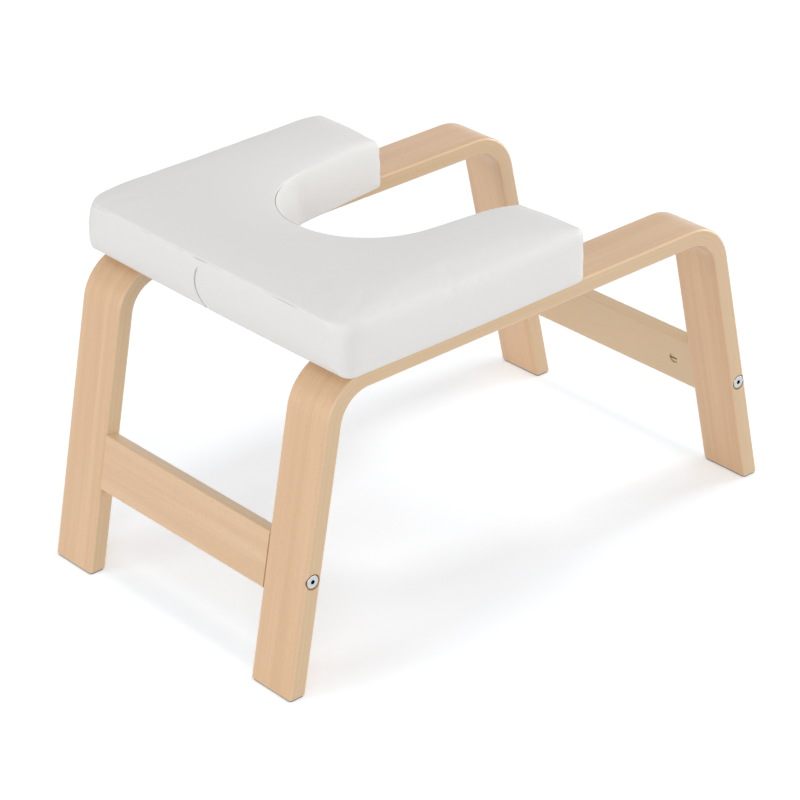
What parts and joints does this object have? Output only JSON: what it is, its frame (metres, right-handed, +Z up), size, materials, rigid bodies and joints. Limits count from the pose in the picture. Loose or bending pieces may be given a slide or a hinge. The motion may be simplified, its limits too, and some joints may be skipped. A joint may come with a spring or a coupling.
{
  "type": "yoga headstand stool",
  "caption": "Low bent-plywood stool with a padded U-shaped seat for headstands: the shoulders rest on the cushion while the head hangs in its gap.",
  "frame": {"origin": "on the floor, under the middle of the stool's length and width", "axes": "+X along the stool towards the open end of the seat's gap, +Y towards the right side frame, +Z up"},
  "size_m": [0.61, 0.38, 0.3649],
  "materials": {
    "bent_ply": "clear satin lacquer over pale beech veneers, with the plies showing along the edges",
    "crossbar_ply": "clear satin lacquer over pale beech plywood",
    "board_ply": "raw plywood",
    "dowel_wood": "raw beech",
    "zinc_steel": "bright zinc plate",
    "cover_leather": "white synthetic leather with a fine grain and a low sheen",
    "foam": "soft open-cell foam",
    "lining_cloth": "dark spun cloth, matt",
    "foot_felt": "grey felt"
  },
  "bodies": {
    "root": {"left_frame": "bent_ply", "right_frame": "bent_ply", "closed_end_crossbar": "crossbar_ply", "open_end_crossbar": "crossbar_ply", "closed_end_left_bolt": "zinc_steel", "closed_end_right_bolt": "zinc_steel", "open_end_left_bolt": "zinc_steel", "open_end_right_bolt": "zinc_steel", "closed_end_left_barrel_nut": "zinc_steel", "closed_end_right_barrel_nut": "zinc_steel", "open_end_left_barrel_nut": "zinc_steel", "open_end_right_barrel_nut": "zinc_steel", "closed_end_left_upper_dowel": "dowel_wood", "closed_end_left_lower_dowel": "dowel_wood", "closed_end_right_upper_dowel": "dowel_wood", "closed_end_right_lower_dowel": "dowel_wood", "open_end_left_upper_dowel": "dowel_wood", "open_end_left_lower_dowel": "dowel_wood", "open_end_right_upper_dowel": "dowel_wood", "open_end_right_lower_dowel": "dowel_wood", "closed_end_left_foot_pad": "foot_felt", "closed_end_right_foot_pad": "foot_felt", "open_end_left_foot_pad": "foot_felt", "open_end_right_foot_pad": "foot_felt", "closed_end_left_seat_bolt": "zinc_steel", "closed_end_right_seat_bolt": "zinc_steel", "open_end_left_seat_bolt": "zinc_steel", "open_end_right_seat_bolt": "zinc_steel", "closed_end_left_seat_washer": "zinc_steel", "closed_end_right_seat_washer": "zinc_steel", "open_end_left_seat_washer": "zinc_steel", "open_end_right_seat_washer": "zinc_steel", "closed_end_left_tee_nut": "zinc_steel", "closed_end_right_tee_nut": "zinc_steel", "open_end_left_tee_nut": "zinc_steel", "open_end_right_tee_nut": "zinc_steel", "seat_board": "board_ply", "seat_foam": "foam", "cover_band": "cover_leather", "cover_top": "cover_leather", "bottom_cloth": "lining_cloth"}
  },
  "joints": []
}
